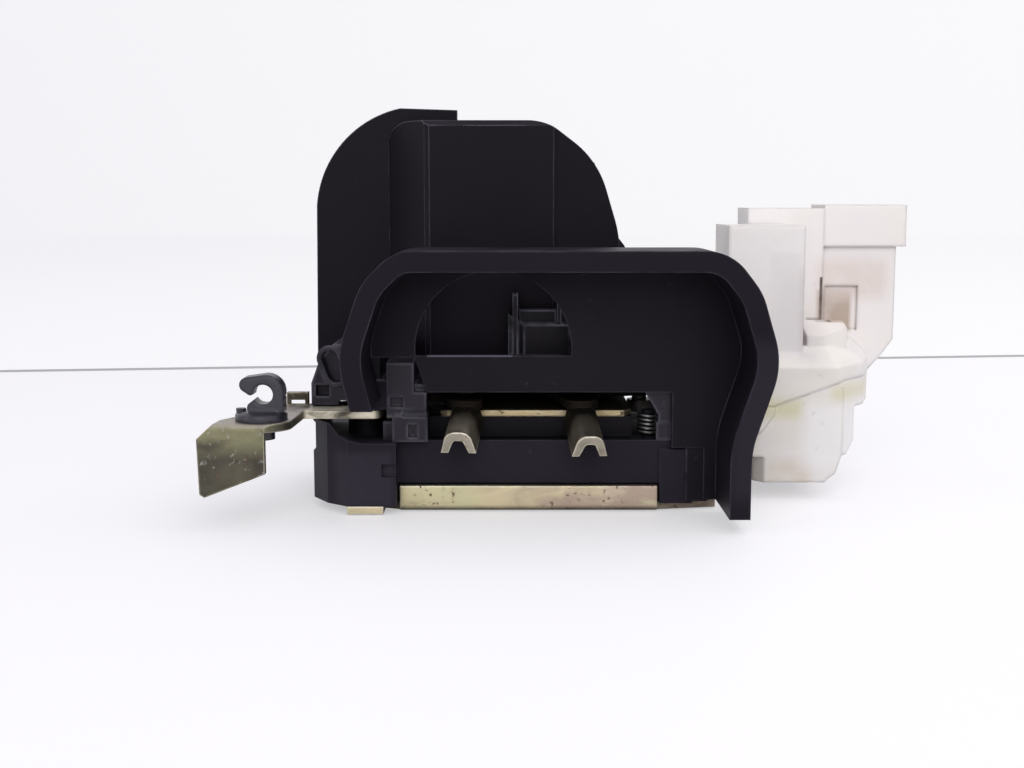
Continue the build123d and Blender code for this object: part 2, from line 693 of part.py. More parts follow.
# ---- hood --------------------------------------------------------------------------------------
hood_bends = [((-36.9, 24.0), 18), ((-41.4, 42.0), 22), ((-35.4, 59.5), 16), ((-27.5, hood_top), 10),
              ((51.0, hood_top), 12), ((58.6, 57.2), 16), ((63.6, 40.5), 20), ((56.8, 20.0), 24)]


def hood_region(inset=0.0):
    """Hood outline in X and Z, run on below its open lower side; `inset` moves it inwards."""
    low = -30.0
    corners = [at for at, r in hood_bends]
    ends = [(corners[0][0], low), (corners[-1][0], low)]
    points = [ends[0], *corners, ends[1]]
    moved, radii = [], []
    for k, at in enumerate(points):
        before, after = points[max(k - 1, 0)], points[min(k + 1, len(points) - 1)]
        come = Vector(at[0] - before[0], at[1] - before[1]) if k else Vector(0, 1)
        go = Vector(after[0] - at[0], after[1] - at[1]) if k < len(points) - 1 else Vector(0, -1)
        come, go = come.normalized(), go.normalized()
        n1, n2 = Vector(come.Y, -come.X), Vector(go.Y, -go.X)
        shift = (n1 + n2) * (inset / (1 + n1.dot(n2)))
        moved.append((at[0] + shift.X, at[1] + shift.Y))
        if 0 < k < len(points) - 1:
            convex = come.X * go.Y - come.Y * go.X < 0
            radii.append(hood_bends[k - 1][1] + (-inset if convex else inset))
    return make_face(FilletPolyline(*moved, radius=radii) + Line(moved[-1], moved[0]))


def hood():
    """Weather hood: a deep curved band with a back wall, the arch and the bar over the slot."""
    wall_y = hood_back - hood_back_t
    made = upright(hood_region(), (hood_front, hood_back))
    inner = hood_region(hood_wall)
    made -= upright(inner, (hood_front - 1, wall_y))
    below = outline((bar_left, bar_top), (bar_left + 2.9, cover_bottom), (bar_right, cover_bottom),
                    (bar_right, 16.5), (bar_end, 16.5), (bar_end, -40), (-60, -40), (-60, bar_top))
    made -= upright(inner & below, (wall_y - 1, hood_back + 1))
    arch = disc(arch_at, arch_r) & (Pos(arch_at[0], arch_sill + 30) * Rectangle(60, 60))
    made -= upright(arch, (wall_y - 1, hood_back + 1))
    made -= block((-60, 100), (hood_front - 1, hood_back + 1), (-40, hood_tip))
    return made - block((-60, 0), (hood_front - 1, hood_back + 1), (-40, hood_left_end))


# ---- covers over the levers and the upright frame ----------------------------------------------
column_x, column_y = (-31.6, -21.6), (-1.0, 7.0)
pillar_x, pillar_y = (40.6, 46.0), (1.3, 7.5)
ear_x, ear_y, ear_top = (-51.8, -34.0), (8.0, 34.0), 42.0
ear_z = rod_lever_top + side_play + clip_t + 0.6


def front_column():
    """Stepped column at the left of the levers, with its ribs and notches."""
    left, right = column_x
    step = bar_left - 0.3
    made = block((left, step), (-1.0, 12.0), (cover_bottom, 38.2))
    made += block(column_x, column_y, (24.9, cover_bottom))
    made += block((left + 1.4, right + 0.3), (-1.5, 7.0), (ledge_z, 24.9))
    made += block((left - 1.2, left + 1.4), (1.5, 7.0), (ledge_z, 22.9))
    made -= block((left + 4.1, right + 1), (-2, -0.5), (24.6, 26.2))
    made -= block((left + 0.9, left + 4.1), (-2, 0.2), (27.0, 29.4))
    made -= block((-26.2, -24.0), (-2, 0.0), (ledge_z + 1.2, 22.6))
    return made


def right_pillar():
    """Pillar and gusset at the right end of the lever slot."""
    made = block(pillar_x, pillar_y, (ledge_z, cover_bottom))
    gusset = outline((33.5, cover_bottom), (34.3, 29.5), (37.2, 24.6), (37.2, 22.7), (41, 22.7),
                     (41, cover_bottom))
    made += upright(gusset, (1.3, 4.0))
    return made + block((36.7, 41.0), (1.5, 5.0), (ledge_z, 22.7))


def ear():
    """Left ear over the rod lever's hub, with its bean-shaped recess."""
    left, right = ear_x
    face = outline((left, ear_z), (left, 31.9), (left + 1.8, 36.8), (left + 4.3, 40.8),
                   (left + 6.5, ear_top), (right, ear_top), (right, ear_z))
    made = upright(face, ear_y)
    made += block((left, left + 7.0), (ear_y[0], 12.0), (rod_lever_top + 0.4, ear_z))
    made += upright(link(((-46.9, 38.4), 3.3), ((-45.3, 34.2), 3.3)), (ear_y[0] - 0.8, ear_y[0]))
    made -= upright(link(((-46.9, 38.4), 2.1), ((-45.3, 34.2), 2.1)), (ear_y[0] - 1, ear_y[0] + 4))
    return made - block((left + 1.2, left + 4.6), (ear_y[0] - 1, ear_y[0] + 3), (28.5, 31.4))


def lever_cover():
    """Cover over the levers: roof, front column, right pillar, rear wall and the left ear."""
    roof = block((column_x[0], house_right), (hood_back, house_back), (cover_bottom, cover_z))
    roof += front_column() + right_pillar() + ear()
    roof += block((deck_left, deck_right), (house_back - 6, house_back - 4), (back_z, cover_z))
    return roof + block((ear_x[1] - 1, column_x[0] + 1), (12, ear_y[1]), (cover_bottom, cover_z))


def dome_form(inset=0.0):
    """Dome as a rounded upright block with oblique sides and broken front edges, drawn in by `inset`."""
    left, right = dome_x
    points = [(left, cover_z), (left, dome_top), (8.5, dome_top), (23.0, 89.2), (right, 69.0),
              (right, cover_z)]
    view = drawn_in(outline(*points), inset) if inset else rounded(points, [6.0, 14.0, 24.0, 30.0])
    ends = [(left, dome_back), (dome_crease[0] - 0.6, dome_front + 0.8), (dome_crease[0] + 0.7, dome_front),
            (dome_crease[1] - 0.7, dome_front), (dome_crease[1] + 0.8, dome_front + 0.8), (right, dome_back),
            (right, dome_back + 5), (left, dome_back + 5)]
    side = outline((dome_front, 0), (dome_front, dome_top - 1.4), (dome_front + 1.8, dome_top),
                   (dome_back + 5, dome_top), (dome_back + 5, 0))
    form = upright(view, (dome_front, dome_back)) & slab(drawn_in(outline(*ends), inset), (0, dome_top + 5))
    return form & extrude(Plane.YZ.offset(-60) * drawn_in(side, inset), 120)


def dome_cover():
    """Upright dome cover, a shell open at the rear."""
    return dome_form() - dome_form(dome_wall)


guide_z = 38.5           # foot of the guide block


def guide_block():
    """Stepped guide on the dome's front, seen through the hood's arch."""
    made = block((3.0, 15.0), (12.0, dome_front), (guide_z, 46.6))
    made += block((1.9, 11.5), (15.0, dome_front), (guide_z, 50.2))
    made += block((11.7, 12.9), (14.0, dome_front), (guide_z, 52.2))
    made += block((0.1, 1.6), (12.0, dome_front), (guide_z, 54.4))
    body = outline((-1.0, guide_z), (-1.0, 49.2), (3.2, 46.4), (3.2, guide_z))
    made += upright(body, (14.0, dome_front))
    return made - block((4.6, 13.4), (12.8, 14.0), (guide_z + 2.5, 46.7))


frame_screws_at = [(-43.0, 80.0), (-46.0, 47.0), (38.0, 46.0)]
screw_r, screw_floor = 1.5, 0.7     # the screws end in blind holes, this far behind the front


def frame_plate():
    """Upright frame plate behind the dome."""
    arc = ThreePointArc((-53.1, 77.3), (-45.5, 94.5), (-30.2, 103.2))
    rest = Polyline((-30.2, 103.2), (-14.8, 102.7), (-14.8, 98.6), (8, 98.4), (22.4, 88.6), (28.6, 69.0),
                    (30.6, 66.5), (36, 55), (house_right, 52), (house_right, cover_z), (-53.6, cover_z),
                    (-53.1, 77.3))
    plate = upright(make_face(arc + rest), (dome_back, dome_back + frame_t))
    for x, z in frame_screws_at:
        plate -= upright(disc((x, z), screw_r), (dome_back + screw_floor, dome_back + frame_t + 1))
    return plate


def frame_screws():
    """Screws through the frame plate, with their hexagon heads at the rear."""
    made = []
    rear = dome_back + frame_t
    for x, z in frame_screws_at:
        head = upright(Pos(x, z) * RegularPolygon(3.6, 6), (rear, rear + 2.4))
        made.append(head + upright(disc((x, z), screw_r), (dome_back + screw_floor, rear)))
    return made


toggle_at, toggle_h = (35.5, 10.0), 6.0


def toggle_spring():
    """Over-centre spring on the lock lever: a coil beside the slot's right end."""
    z = (ledge_z, ledge_z + toggle_h)
    return prism(toggle_at, z, 3.0, 12) - prism(toggle_at, z, 2.1, 12)


def toggle_post():
    """Moulded post inside the toggle spring."""
    return post(toggle_at, (ledge_z, ledge_z + toggle_h + 0.6), 1.9)


nodes = {
    "base_plate": base_plate, "bolt_bushes": bolt_bushes, "back_plate": back_plate,
    "latch_housing": latch_housing, "mouth_bumper": mouth_bumper,
    "claw": claw, "claw_jacket": claw_jacket, "claw_pin": claw_pin, "claw_spring": claw_spring,
    "pawl": pawl, "pawl_pin": pawl_pin, "pawl_lift_pin": pawl_lift_pin, "pawl_spring": pawl_spring,
    "release_lever": release_lever, "release_stud": release_stud, "lock_lever": lock_lever,
    "rod_lever": rod_lever, "rod_lever_stud": rod_lever_stud, "rod_clip": rod_clip,
    "lever_clips": lever_clips, "toggle_spring": toggle_spring, "toggle_post": toggle_post,
    "sector_lever": sector_lever, "reduction_gear": reduction_gear,
    "sector_axle": lambda: axle(sector_at, (case_belly + case_t, sector_z + sector_t + 2.0)),
    "reduction_axle": lambda: axle(gear_at, (case_bottom + case_t, case_deck - case_t)),
    "motor_pinion": motor_pinion, "motor_shaft": motor_shaft, "motor_can": motor_can,
    "motor_end_cap": motor_end_cap, "actuator_case_lower": case_lower,
    "actuator_case_upper": case_upper, "connector_terminals": connector_terminals,
    "hood": hood, "lever_cover": lever_cover, "dome_cover": dome_cover, "guide_block": guide_block,
    "frame_plate": frame_plate, "frame_screws": frame_screws,
}

for name, make in nodes.items():
    shape = make()
    save(name, Compound(children=shape) if isinstance(shape, list) else shape)
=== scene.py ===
# %% [markdown]
# # Side door latch with its power lock drive
# The solid model carries the real shapes, sizes and motion of the latch. This notebook loads it as a
# fixed frame and gives each piece the finish of its own moulding, pressing or plating. It adds what is
# swept or small: the springs' coils, the screw threads and two webs of the hood. Then it sets up a
# camera, soft light and a pale floor. Every length is in metres.

# %% Load the frame
import json
import math
import bmesh
import bpy
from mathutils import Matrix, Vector

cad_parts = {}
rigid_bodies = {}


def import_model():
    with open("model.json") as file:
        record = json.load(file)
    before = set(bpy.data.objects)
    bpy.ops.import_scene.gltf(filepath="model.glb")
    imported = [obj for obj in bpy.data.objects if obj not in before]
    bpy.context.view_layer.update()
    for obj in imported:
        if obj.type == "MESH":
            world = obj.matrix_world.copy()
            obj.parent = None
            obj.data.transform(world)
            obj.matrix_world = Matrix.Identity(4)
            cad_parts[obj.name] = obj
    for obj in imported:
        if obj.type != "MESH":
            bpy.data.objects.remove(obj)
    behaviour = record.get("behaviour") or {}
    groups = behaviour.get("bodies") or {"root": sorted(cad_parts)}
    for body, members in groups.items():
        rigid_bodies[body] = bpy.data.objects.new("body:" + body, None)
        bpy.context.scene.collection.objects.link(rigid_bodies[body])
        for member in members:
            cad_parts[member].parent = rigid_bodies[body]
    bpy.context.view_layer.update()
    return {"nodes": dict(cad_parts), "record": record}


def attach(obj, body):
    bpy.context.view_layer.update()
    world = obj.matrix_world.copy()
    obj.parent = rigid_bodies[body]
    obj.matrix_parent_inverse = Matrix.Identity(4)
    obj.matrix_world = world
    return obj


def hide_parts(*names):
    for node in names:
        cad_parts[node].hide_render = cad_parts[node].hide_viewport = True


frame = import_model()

nodes = frame["nodes"]


def placed(name, data):
    """A new object that holds some data, linked to the scene."""
    made = bpy.data.objects.new(name, data)
    bpy.context.scene.collection.objects.link(made)
    return made


# %% [markdown]
# ## Camera
# A product shot from the front, a little above the latch. The camera is placed with numbers, because a
# tracking constraint would move it again whenever the part changes. The lens is long enough that the
# parallel edges of the housing stay nearly parallel.

# %% Camera
CAMERA_AT = (0.0, -0.350, 0.0794)
TILT_DOWN = math.radians(7.6)
LENS_MM, SENSOR_MM = 49.2, 36.0
NEAREST_SEEN = 0.01

camera_data = bpy.data.cameras.new("camera")
camera_data.lens = LENS_MM
camera_data.sensor_width = SENSOR_MM
camera_data.clip_start = NEAREST_SEEN
camera = placed("camera", camera_data)
camera.location = CAMERA_AT
camera.rotation_euler = (math.pi / 2 - TILT_DOWN, 0.0, 0.0)
bpy.context.scene.camera = camera

# %% [markdown]
# ## Shader maths
# A material that varies over a surface is a sum of small patterns. Written with nodes alone, such a sum
# is hard to read, so one class wraps a node's output and lets plain operators add the Math nodes. A
# second class holds one material and adds every other kind of node. A third is one local tint, such as a
# stain or a sooty corner: a colour inside a box, in the part's own coordinates.

# %% Wire, Tint and Finish
BEVEL_SAMPLES, HOLLOW_SAMPLES = 4, 6
EDGE_STARTS, EDGE_FULL = 0.004, 0.070   # how far the rounded normal leans from the true one, as 1 - cosine


class Wire:
    """One output of a shader node. Arithmetic on it adds Math nodes."""

    def __init__(self, finish, socket):
        self.finish, self.socket = finish, socket

    def maths(self, operation, a, b):
        """The output of a new Math node."""
        return self.finish.node("ShaderNodeMath", {0: a, 1: b}, operation=operation)

    def __add__(self, other):
        return self.maths("ADD", self, other)

    def __sub__(self, other):
        return self.maths("SUBTRACT", self, other)

    def __rsub__(self, other):
        return self.maths("SUBTRACT", other, self)

    def __mul__(self, other):
        return self.maths("MULTIPLY", self, other)

    __radd__ = __add__
    __rmul__ = __mul__


class Tint:
    """A shade inside the box from `low` to `high`, which fades out over `fade` metres round it."""

    def __init__(self, low, high, fade, shade, amount):
        self.low, self.high, self.fade = low, high, fade
        self.shade, self.amount = shade, amount


class Finish:
    """A procedural material, built round a Principled shader."""

    def __init__(self, name, **fixed):
        self.material = bpy.data.materials.new(name)
        self.material.use_nodes = True
        self.tree = self.material.node_tree
        self.shader = self.tree.nodes["Principled BSDF"]
        for key, value in fixed.items():
            self.shader.inputs[key.replace("_", " ")].default_value = value
        self.place = self.node("ShaderNodeTexCoord", out="Object")

    def node(self, kind, sockets=None, out=0, **settings):
        """One output of a new node, from its settings and the values or wires of its sockets."""
        made = self.tree.nodes.new(kind)
        for key, value in settings.items():
            setattr(made, key, value)
        for key, value in (sockets or {}).items():
            if isinstance(value, Wire):
                self.tree.links.new(value.socket, made.inputs[key])
            else:
                made.inputs[key].default_value = value
        return Wire(self, made.outputs[out])

    def noise(self, size, detail=3.0, warp=0.0, stretch=(1, 1, 1)):
        """A cloudy pattern from 0 to 1 whose blots are about `size` metres across."""
        place = self.node("ShaderNodeMapping", {"Vector": self.place, "Scale": stretch})
        sockets = {"Vector": place, "Scale": 0.5 / size, "Detail": detail, "Distortion": warp}
        return self.node("ShaderNodeTexNoise", sockets)

    def mask(self, value, low, high):
        """0 below `low`, 1 above `high`, and a straight rise between."""
        rise = self.node("ShaderNodeValToRGB", {"Fac": value})
        black, white = rise.socket.node.color_ramp.elements
        black.position, white.position = low, high
        return rise

    def blend(self, a, b, amount):
        """Colour a where amount is 0, colour b where it is 1."""
        a, b = (c if isinstance(c, Wire) else (*c, 1.0) for c in (a, b))
        sockets = {0: amount, 6: a, 7: b}   # the Mix node's own places for a factor and two colours
        return self.node("ShaderNodeMix", sockets, out=2, data_type="RGBA")

    def edges(self, radius):
        """The normal rounded over near an edge, and how near the edge is, from 0 to 1."""
        rounded = self.node("ShaderNodeBevel", {"Radius": radius}, samples=BEVEL_SAMPLES)
        true = self.node("ShaderNodeNewGeometry", out="Normal")
        sockets = {0: rounded, 1: true}
        facing = self.node("ShaderNodeVectorMath", sockets, out="Value", operation="DOT_PRODUCT")
        return rounded, self.mask(1.0 - facing, EDGE_STARTS, EDGE_FULL)

    def hollows(self, reach):
        """1 deep in a corner or a pocket, 0 on an open face."""
        opened = self.node("ShaderNodeAmbientOcclusion", {"Distance": reach}, out="AO",
                           samples=HOLLOW_SAMPLES, only_local=False)
        return 1.0 - opened

    def along(self, axis, low, high):
        """A rise from 0 to 1 between two places along the part's X, Y or Z."""
        at = self.node("ShaderNodeSeparateXYZ", {0: self.place}, out=axis)
        sockets = {"Value": at, "From Min": low, "From Max": high}
        return self.node("ShaderNodeMapRange", sockets, clamp=True)

    def patch(self, low, high, fade):
        """1 inside a box given by two corners, fading to 0 over `fade` metres outside it."""
        inside = 1.0
        for axis, a, b in zip("XYZ", low, high):
            inside = inside * self.along(axis, a - fade, a) * self.along(axis, b + fade, b)
        return inside

    def tinted(self, colour, tints, pattern, low, high):
        """Each tint laid over the colour in turn, and thinner where the pattern is low."""
        for tint in tints:
            patch = self.patch(tint.low, tint.high, tint.fade) * self.mask(pattern, low, high)
            colour = self.blend(colour, tint.shade, patch * tint.amount)
        return colour

    def upward(self):
        """1 on faces that look straight up, 0 on walls."""
        normal = self.node("ShaderNodeNewGeometry", out="Normal")
        return self.node("ShaderNodeSeparateXYZ", {0: normal}, out="Z")

    def feed(self, **sockets):
        """Links wires to the shader's own sockets."""
        for key, wire in sockets.items():
            self.tree.links.new(wire.socket, self.shader.inputs[key.replace("_", " ")])

    def bump(self, height, depth, normal):
        """A normal bent by a height pattern that is `depth` metres deep."""
        sockets = {"Height": height, "Distance": depth, "Strength": 1.0, "Normal": normal}
        return self.node("ShaderNodeBump", sockets)


# %% [markdown]
# ## Black mouldings
# The housing, the hood and the covers are three different plastics. The housing is glass-filled and has
# a fine sparkle grain. The hood is a softer, slightly oily rubber-like moulding. The covers are smoother.
# All of them have caught dust on the faces that look up. Their edges are pale, from wear and from a
# painted highlight, their pockets and the levers' slot carry painted shade, and a few faces are painted
# lighter as painted light.

# %% Black plastics
# dust, lint, and a painted shade for pockets
DUST, LINT, BLACK_HOLLOW_SHADE = (0.050, 0.045, 0.060), (0.090, 0.083, 0.090), (0.0016, 0.0010, 0.0016)
# a painted shade for the levers' slot, a painted light for some black faces, and a painted highlight for
# edges
SLOT_SHADE, PAINTED_LIGHT, LIT_EDGE = (0.0014, 0.0009, 0.0014), (0.034, 0.029, 0.042), (0.135, 0.130, 0.165)


def black_moulding(name, dark, light, rough, shine, grain, grain_depth, dust, wear_and_highlight, edge=0.0004, tints=(),
                   rub_and_highlight=(0.130, 0.122, 0.158)):
    """A black plastic with cloudy tone, moulded grain, dust on top, pale edges and painted shade in
    pockets.

    `grain` and `grain_depth` are the width and depth of its texture, `edge` is how wide its pale edge band
    is and `rub_and_highlight` its colour: wear and a painted highlight. `dust` and `wear_and_highlight`
    are shares.
    """
    finish = Finish(name, IOR=1.46, Specular_IOR_Level=shine)
    rounded, near_edge = finish.edges(edge)
    cloud = finish.noise(0.022, detail=4.0, warp=0.4)
    streaks = finish.noise(0.006, detail=5.0, warp=0.2, stretch=(1, 1, 0.25))
    specks = finish.noise(grain, detail=2.0)
    threads = finish.noise(0.0009, detail=3.0, warp=0.6)
    lint = finish.mask(threads, 0.68, 0.76) * finish.mask(cloud, 0.45, 0.62)
    settled = finish.mask(finish.upward(), 0.35, 1.0) * finish.mask(streaks, 0.35, 0.75)
    # near the edges: paler from wear and from a painted highlight
    rubbed_and_highlit = near_edge * finish.mask(finish.noise(0.004, detail=3.0), 0.28, 0.58)
    # painted shade, deep in pockets and corners
    pocket = finish.mask(finish.hollows(0.022), 0.58, 0.95)
    colour = finish.blend(dark, light, finish.mask(cloud, 0.3, 0.72))
    colour = finish.blend(colour, DUST, settled * dust)
    colour = finish.blend(colour, rub_and_highlight, rubbed_and_highlit * wear_and_highlight)
    colour = finish.blend(colour, LINT, lint * dust)
    colour = finish.blend(colour, BLACK_HOLLOW_SHADE, pocket * 0.9)
    colour = finish.tinted(colour, tints, cloud, 0.0, 0.5)
    finish.feed(Base_Color=colour, Normal=finish.bump(specks, grain_depth, rounded),
                Roughness=rough + 0.16 * (streaks - 0.5) + 0.12 * settled + 0.3 * pocket)
    return finish.material


GLASS_FILLED = {"dark": (0.0110, 0.0082, 0.0150), "light": (0.0175, 0.0145, 0.0225)}
SMOOTH_BLACK = {"dark": (0.0056, 0.0036, 0.0074), "light": (0.0080, 0.0058, 0.0102)}

housing_black = black_moulding(
    "glass_filled_black", **GLASS_FILLED, rough=0.48, shine=0.14, grain=0.00030, grain_depth=0.000022,
    dust=0.55, wear_and_highlight=0.42, tints=(
        # painted shade inside the levers' slot, and painted light on the block at the left
        Tint((-0.0290, 0.0030, 0.0165), (0.0340, 0.0320, 0.0240), 0.0006, SLOT_SHADE, 0.85),
        Tint((-0.0520, -0.0050, 0.0030), (-0.0310, -0.0025, 0.0150), 0.0020, PAINTED_LIGHT, 0.7),
    ))
# the ear's wide pale edges are wear and a painted highlight
ear_black = black_moulding(
    "ear_cover_black", **GLASS_FILLED, rough=0.34, shine=0.26, grain=0.00030, grain_depth=0.000010,
    dust=0.60, wear_and_highlight=0.95, edge=0.0012, tints=(
        # painted light in the ear's scoop
        Tint((-0.0500, 0.0100, 0.0300), (-0.0400, 0.0400, 0.0420), 0.0010, PAINTED_LIGHT, 0.9),
    ))
hood_black = black_moulding(
    "hood_moulding_black", dark=(0.0072, 0.0048, 0.0092), light=(0.0108, 0.0080, 0.0132), rough=0.44,
    shine=0.11, grain=0.00050, grain_depth=0.000018, dust=0.35, wear_and_highlight=0.60, edge=0.0005, tints=(
        # a painted highlight along the lower edge of the arch, and painted light on the front of the right
        # foot
        Tint((-0.0212, -0.0040, 0.0398), (0.0, 0.0006, 0.0405), 0.0002, LIT_EDGE, 1.0),
        Tint((0.0540, -0.0300, 0.0100), (0.0640, -0.0240, 0.0440), 0.0040, PAINTED_LIGHT, 0.35),
    ))
cover_black = black_moulding(
    "smooth_cover_black", **SMOOTH_BLACK, rough=0.42, shine=0.10, grain=0.00022, grain_depth=0.000008,
    dust=0.30, wear_and_highlight=0.95, edge=0.0005)
# the guide block's bright edges are wear and a painted highlight
guide_black = black_moulding(
    "guide_block_black", **SMOOTH_BLACK, rough=0.38, shine=0.16, grain=0.00022, grain_depth=0.000008,
    dust=0.60, wear_and_highlight=1.0, edge=0.0009, rub_and_highlight=(0.30, 0.29, 0.35))
bumper_black = black_moulding(
    "stop_rubber", dark=(0.012, 0.012, 0.013), light=(0.020, 0.019, 0.020), rough=0.70, shine=0.20,
    grain=0.00060, grain_depth=0.000030, dust=0.30, wear_and_highlight=0.10)

# %% [markdown]
# ## White and coloured resins
# The actuator's case is natural nylon: milky, a little see-through at thin walls, and yellowed where
# grease and handling reached it. Light that scatters under the skin is one fixed subsurface setting.
# Corners are darkened with dirt and painted shade, and edges carry a painted highlight. Stains, painted
# shade and painted light lie in a few places that are given one by one.

# %% Natural and coloured plastics
SCATTER_DEPTH, SCATTER_COLOURS = 0.003, (1.0, 0.8, 0.6)


def tinted_moulding(name, body, stain, rough, grime, stain_low=0.4, stain_high=0.7, scatter=0.0, tints=()):
    """A pale or coloured plastic with soft stains, corners darkened with dirt and painted shade, a painted
    highlight along the edges, specks and local tints.
    """
    finish = Finish(name, IOR=1.50, Subsurface_Weight=scatter, Subsurface_Scale=SCATTER_DEPTH,
                    Subsurface_Radius=SCATTER_COLOURS)
    rounded, near_edge = finish.edges(0.0014)
    stains = finish.mask(finish.noise(0.020, detail=4.0, warp=0.8), stain_low, stain_high)
    specks = finish.mask(finish.noise(0.0012, detail=2.0), 0.68, 0.76)
    dirty_place = finish.mask(finish.noise(0.012, detail=2.0), 0.50, 0.66)
    # corners: dirt and painted shade, from how hidden a place is
    deep = finish.mask(finish.hollows(0.0032), 0.40, 0.80)
    corner = deep * finish.mask(finish.noise(0.008, detail=3.0), 0.36, 0.60)
    cloud = finish.noise(0.007, detail=4.0, warp=0.6)
    pale = tuple(min(1.0, c * 1.05) for c in body)
    colour = finish.blend(body, stain, stains * 0.5)
    # paler along the edges: a painted highlight
    colour = finish.blend(colour, pale, near_edge * 0.5)
    colour = finish.tinted(colour, tints, cloud, 0.15, 0.5)
    colour = finish.blend(colour, grime, specks * dirty_place * 0.14)
    colour = finish.blend(colour, grime, corner * 0.55)
    ripple = finish.noise(0.0007, detail=2.0)
    finish.feed(Base_Color=colour, Roughness=rough + 0.18 * (stains - 0.5) + 0.1 * specks,
                Normal=finish.bump(ripple, 0.000012, rounded))
    return finish.material


WARM_BROWN, GREASE, GAP_SHADE = (0.50, 0.40, 0.33), (0.70, 0.66, 0.40), (0.10, 0.07, 0.06)
case_tints = (
    # the window on the socket, a warm tone painted as light coming through it, and painted shade in the
    # groove beside it and the gap at its foot
    Tint((0.0865, 0.0325, 0.0425), (0.0955, 0.0600, 0.0530), 0.0012, WARM_BROWN, 1.0),
    Tint((0.0880, 0.0325, 0.0530), (0.1040, 0.0600, 0.0600), 0.0040, (0.76, 0.67, 0.62), 0.8),
    Tint((0.0867, 0.0325, 0.0455), (0.0872, 0.0600, 0.0570), 0.0003, GAP_SHADE, 1.0),
    Tint((0.0835, 0.0325, 0.0440), (0.0872, 0.0600, 0.0452), 0.0008, GAP_SHADE, 1.0),
    # the tower's shady side
    Tint((0.0765, 0.0, 0.0380), (0.0790, 0.0300, 0.0560), 0.0070, (0.60, 0.56, 0.57), 0.7),
    # grease along the seam and down the left edge
    Tint((0.0600, 0.0, 0.0230), (0.0760, 0.0500, 0.0250), 0.0030, GREASE, 0.70),
    Tint((0.0860, 0.0, 0.0265), (0.1000, 0.0500, 0.0285), 0.0030, GREASE, 0.55),
    Tint((0.0600, 0.0, 0.0050), (0.0640, 0.0500, 0.0230), 0.0020, GREASE, 0.60),
    # a stain on the belly, painted shade on the tower's front, and painted light that makes the lower case
    # paler
    Tint((0.0690, 0.0, 0.0040), (0.0770, 0.0300, 0.0080), 0.0040, (0.66, 0.55, 0.43), 0.7),
    Tint((0.0690, 0.0, 0.0380), (0.0755, 0.0300, 0.0640), 0.0015, (0.79, 0.75, 0.745), 0.6),
    Tint((0.0790, 0.0, 0.0100), (0.1000, 0.0300, 0.0235), 0.0040, (0.96, 0.93, 0.92), 0.8),
)
# painted shade darkens the sector's arm where it reaches into the levers' slot
gear_tints = (Tint((0.0280, 0.0, 0.0200), (0.0420, 0.0360, 0.0300), 0.0030, (0.03, 0.02, 0.02), 1.0),)

nylon = tinted_moulding(
    "natural_nylon", body=(0.875, 0.835, 0.82), stain=(0.84, 0.78, 0.66), rough=0.40,
    stain_low=0.42, stain_high=0.72, grime=(0.26, 0.18, 0.12), scatter=0.18, tints=case_tints)
gear_white = tinted_moulding(
    "gear_acetal", body=(0.72, 0.71, 0.66), stain=(0.66, 0.62, 0.52), rough=0.36,
    grime=(0.30, 0.26, 0.20), scatter=0.08, tints=gear_tints)
jacket_black = tinted_moulding(
    "claw_jacket_resin", body=(0.018, 0.018, 0.021), stain=(0.030, 0.028, 0.028), rough=0.46,
    grime=(0.08, 0.07, 0.06))
clip_black = tinted_moulding(
    "rod_clip_acetal", body=(0.020, 0.018, 0.028), stain=(0.032, 0.028, 0.040), rough=0.30,
    grime=(0.09, 0.085, 0.08))

# %% [markdown]
# ## Plated and bare steel
# The levers and the face plate are zinc plated and passivated yellow. That film is uneven: it runs from
# pale straw to olive, with pink and green tints, and it wears off along the sheared edges. Dark grime
# and a few freckles of rust sit on top. Painted shade darkens the hollows and the roots of the levers,
# and painted light makes the top faces of one steel paler. The same recipe with other colours makes the
# bare parts.

# %% Metals
RUST, WHITE_BLOOM, STEEL_HOLLOW_SHADE = (0.120, 0.068, 0.030), (0.42, 0.40, 0.37), (0.006, 0.004, 0.003)


